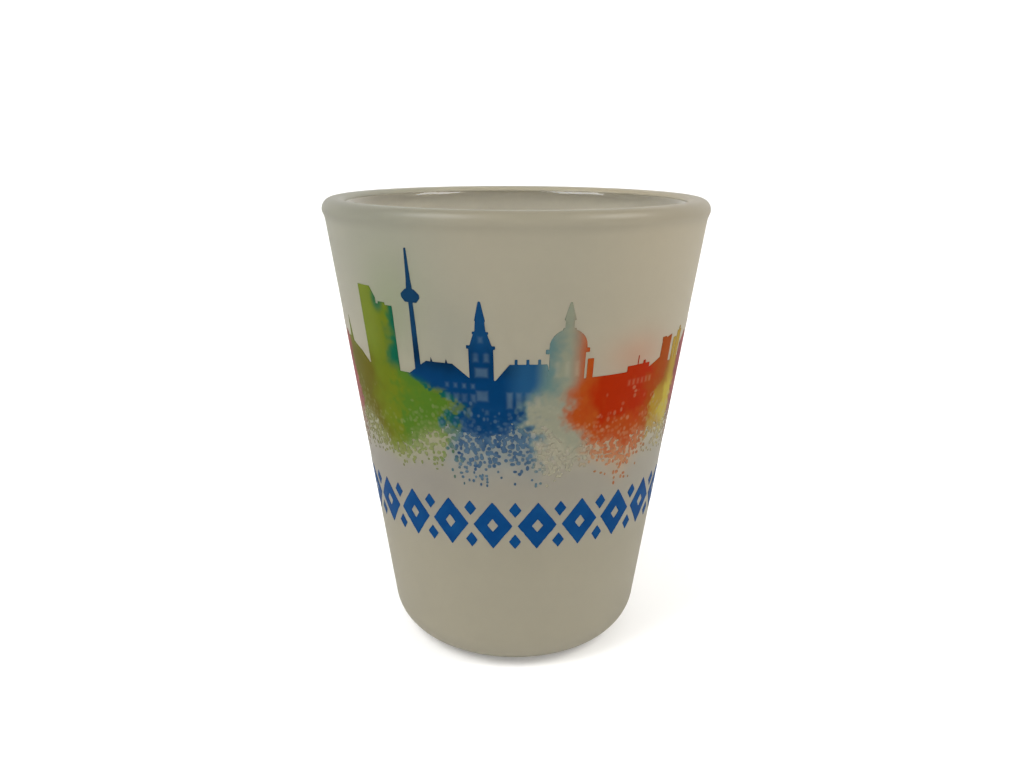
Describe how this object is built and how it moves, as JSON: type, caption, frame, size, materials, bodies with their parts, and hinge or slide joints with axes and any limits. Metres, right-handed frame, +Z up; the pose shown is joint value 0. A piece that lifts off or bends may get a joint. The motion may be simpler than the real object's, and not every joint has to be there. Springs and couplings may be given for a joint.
{
  "type": "shot glass",
  "caption": "Small tapered frosted drinking glass with a rounded lip, a heavy base and a watercolour skyline print.",
  "frame": {"origin": "centre of the foot, on the table", "axes": "+Z up along the glass's axis, the print faces -Y"},
  "size_m": [0.0502, 0.0502, 0.0601],
  "materials": {
    "clear_glass": "polished",
    "frosted_coat": "satin",
    "green_ink": "satin",
    "blue_ink": "satin",
    "pale_blue_ink": "satin",
    "orange_ink": "satin",
    "yellow_ink": "satin",
    "maroon_ink": "satin",
    "border_ink": "satin"
  },
  "bodies": {
    "root": {"glass_body": "clear_glass", "frost_coat": "frosted_coat", "green_print": "green_ink", "blue_print": "blue_ink", "pale_blue_print": "pale_blue_ink", "orange_print": "orange_ink", "yellow_print": "yellow_ink", "maroon_print": "maroon_ink", "border_print": "border_ink"}
  },
  "joints": []
}
